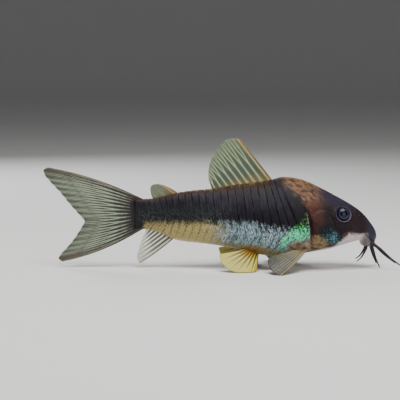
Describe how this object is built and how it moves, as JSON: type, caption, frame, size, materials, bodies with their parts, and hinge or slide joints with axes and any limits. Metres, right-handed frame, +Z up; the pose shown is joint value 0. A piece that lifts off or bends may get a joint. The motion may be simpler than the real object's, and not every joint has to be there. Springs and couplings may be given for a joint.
{
  "type": "corydoras catfish model",
  "caption": "Life-size still model of a small armoured catfish resting on its paired fins, with plated flanks, forked tail fin and barbels reaching forward and down.",
  "frame": {"origin": "on the floor, at the middle of the fish's length and width as seen from above", "axes": "+X towards the head, +Y towards the fish's left side, +Z up"},
  "size_m": [0.0719, 0.0254, 0.0259],
  "materials": {
    "head_skin": "smooth wet skin over bone",
    "flank_plates": "wet bony plates with a faint blue sheen",
    "gill_plate": "wet bony plate with green flecks",
    "pale_skin": "soft wet skin",
    "fin": "thin clear membrane between pale rays",
    "yellow_fin": "thin clear membrane between yellow rays",
    "feeler": "smooth wet skin",
    "eye": "wet clear cornea over a dark eye"
  },
  "bodies": {
    "root": {"head": "head_skin", "lower_lip": "pale_skin", "gill_cover_right": "gill_plate", "gill_cover_left": "gill_plate", "eye_right": "eye", "eye_left": "eye", "trunk": "flank_plates", "tail": "flank_plates", "dorsal_fin": "fin", "adipose_fin": "fin", "caudal_fin": "fin", "anal_fin": "fin", "pectoral_fin_right": "fin", "pectoral_fin_left": "fin", "pelvic_fin_right": "yellow_fin", "pelvic_fin_left": "yellow_fin", "barbel_upper_right": "feeler", "barbel_upper_left": "feeler", "barbel_lower_right": "feeler", "barbel_lower_left": "feeler", "barbel_chin_right": "feeler", "barbel_chin_left": "feeler"}
  },
  "joints": []
}
